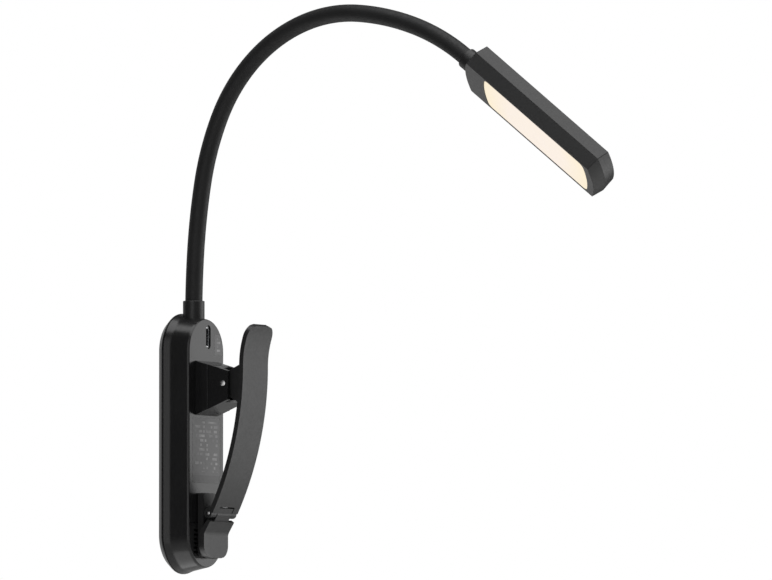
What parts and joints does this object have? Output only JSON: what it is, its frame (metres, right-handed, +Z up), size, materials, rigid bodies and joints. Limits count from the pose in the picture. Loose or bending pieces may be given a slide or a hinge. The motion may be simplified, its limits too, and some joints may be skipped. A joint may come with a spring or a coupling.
{
  "type": "clip on reading lamp",
  "caption": "Rechargeable clip-on reading lamp: capsule body with a sprung clip, a black gooseneck and a slim LED head with an opal lens.",
  "frame": {"origin": "middle of the clip's grip, on the body's back face", "axes": "+Z up the body towards the gooseneck, +Y out of the back face towards the lever, +X across the clip"},
  "size_m": [0.0358, 0.2343, 0.2598],
  "materials": {
    "shell_black": "glossy black moulding",
    "lever_black": "satin black moulding",
    "rubber_black": "soft black rubber",
    "socket_metal": "bright plated",
    "screw_steel": "zinc plated",
    "pin_steel": "bright pin",
    "spring_steel": "spring wire",
    "cell_wrap": "foil pouch cell",
    "board_green": "circuit board",
    "electrode_brass": "touch electrode",
    "label_grey": "printed label",
    "collar_black": "satin black ring",
    "core_steel": "coiled steel core",
    "sleeve_black": "matte black sleeve",
    "head_black": "satin black moulding",
    "lens_white": "opal lens",
    "tray_white": "white reflector tray",
    "led_phosphor": "light emitting chips"
  },
  "bodies": {
    "body": {"rear_shell": "shell_black", "front_cover": "shell_black", "housing_screws": "screw_steel", "battery_pack": "cell_wrap", "main_board": "board_green", "touch_electrode": "electrode_brass", "socket_insert": "shell_black", "socket_shell": "socket_metal", "symbol_label": "label_grey", "rating_label": "label_grey", "body_pad": "rubber_black", "clip_bracket": "shell_black", "bracket_screws": "screw_steel", "hinge_pin": "pin_steel", "torsion_spring": "spring_steel", "base_collar": "collar_black", "neck_nut": "core_steel", "neck_core_1": "core_steel", "neck_sleeve_1": "sleeve_black"},
    "lever": {"clip_lever": "lever_black", "jaw_pin": "pin_steel"},
    "jaw": {"jaw_foot": "lever_black", "jaw_pad": "rubber_black"},
    "link_2": {"neck_core_2": "core_steel", "neck_sleeve_2": "sleeve_black"},
    "link_3": {"neck_core_3": "core_steel", "neck_sleeve_3": "sleeve_black"},
    "link_4": {"neck_core_4": "core_steel", "neck_sleeve_4": "sleeve_black"},
    "link_5": {"neck_core_5": "core_steel", "neck_sleeve_5": "sleeve_black"},
    "link_6": {"neck_core_6": "core_steel", "neck_sleeve_6": "sleeve_black"},
    "link_7": {"neck_core_7": "core_steel", "neck_sleeve_7": "sleeve_black"},
    "link_8": {"neck_core_8": "core_steel", "neck_sleeve_8": "sleeve_black"},
    "head": {"head_collar": "collar_black", "head_lock_ring": "core_steel", "head_top": "head_black", "head_frame": "head_black", "lens": "lens_white", "led_tray": "tray_white", "led_board": "tray_white", "led_chips": "led_phosphor", "head_screws": "screw_steel"}
  },
  "joints": [
    {"name": "clip_open", "type": "hinge", "parent": "body", "child": "lever", "pos_m": [0, 0.0145, 0.073], "axis": [1, 0, 0], "range_deg": [0, 24], "stiffness_Nm_per_rad": 0.12, "springref_deg": -34.38, "deforming": ["torsion_spring"]},
    {"name": "jaw_swivel", "type": "hinge", "parent": "lever", "child": "jaw", "pos_m": [0, 0.0076, 0.0134], "axis": [1, 0, 0], "range_deg": [-24.5, 0.5]},
    {"name": "neck_bend", "type": "hinge", "parent": "body", "child": "link_2", "pos_m": [0, -0.00581, 0.13528], "axis": [1, 0, 0], "range_deg": [-9, 11]},
    {"name": "neck_sway", "type": "hinge", "parent": "link_2", "child": "link_3", "pos_m": [0, -0.00201, 0.16623], "axis": [0, 0.9848, -0.1736], "range_deg": [-11, 11]},
    {"name": "neck_bend_2", "type": "hinge", "parent": "link_3", "child": "link_4", "pos_m": [0, 0.00709, 0.19599], "axis": [1, 0, 0], "range_deg": [-9.1, 11.1]},
    {"name": "neck_sway_2", "type": "hinge", "parent": "link_4", "child": "link_5", "pos_m": [0, 0.025, 0.22129], "axis": [0, 0.6871, -0.7266], "range_deg": [-11.1, 11.1]},
    {"name": "neck_bend_3", "type": "hinge", "parent": "link_5", "child": "link_6", "pos_m": [0, 0.05141, 0.23747], "axis": [1, 0, 0], "range_deg": [-9.1, 11.1]},
    {"name": "neck_sway_3", "type": "hinge", "parent": "link_6", "child": "link_7", "pos_m": [0, 0.08213, 0.24125], "axis": [0, -0.0976, -0.9952], "range_deg": [-11.1, 11.1]},
    {"name": "neck_bend_4", "type": "hinge", "parent": "link_7", "child": "link_8", "pos_m": [0, 0.11245, 0.23425], "axis": [1, 0, 0], "range_deg": [-9.1, 11.1]},
    {"name": "head_turn", "type": "hinge", "parent": "link_8", "child": "head", "pos_m": [0, 0.13955, 0.21904], "axis": [0, 0.7859, -0.6184], "range_deg": [-60, 60]}
  ],
  "couplings": [
    {"joint": "jaw_swivel", "follows": "clip_open", "ratio": -1},
    {"joint": "neck_bend_2", "follows": "neck_bend", "ratio": 1},
    {"joint": "neck_sway_2", "follows": "neck_sway", "ratio": 1},
    {"joint": "neck_bend_3", "follows": "neck_bend", "ratio": 1},
    {"joint": "neck_sway_3", "follows": "neck_sway", "ratio": 1},
    {"joint": "neck_bend_4", "follows": "neck_bend", "ratio": 1}
  ]
}
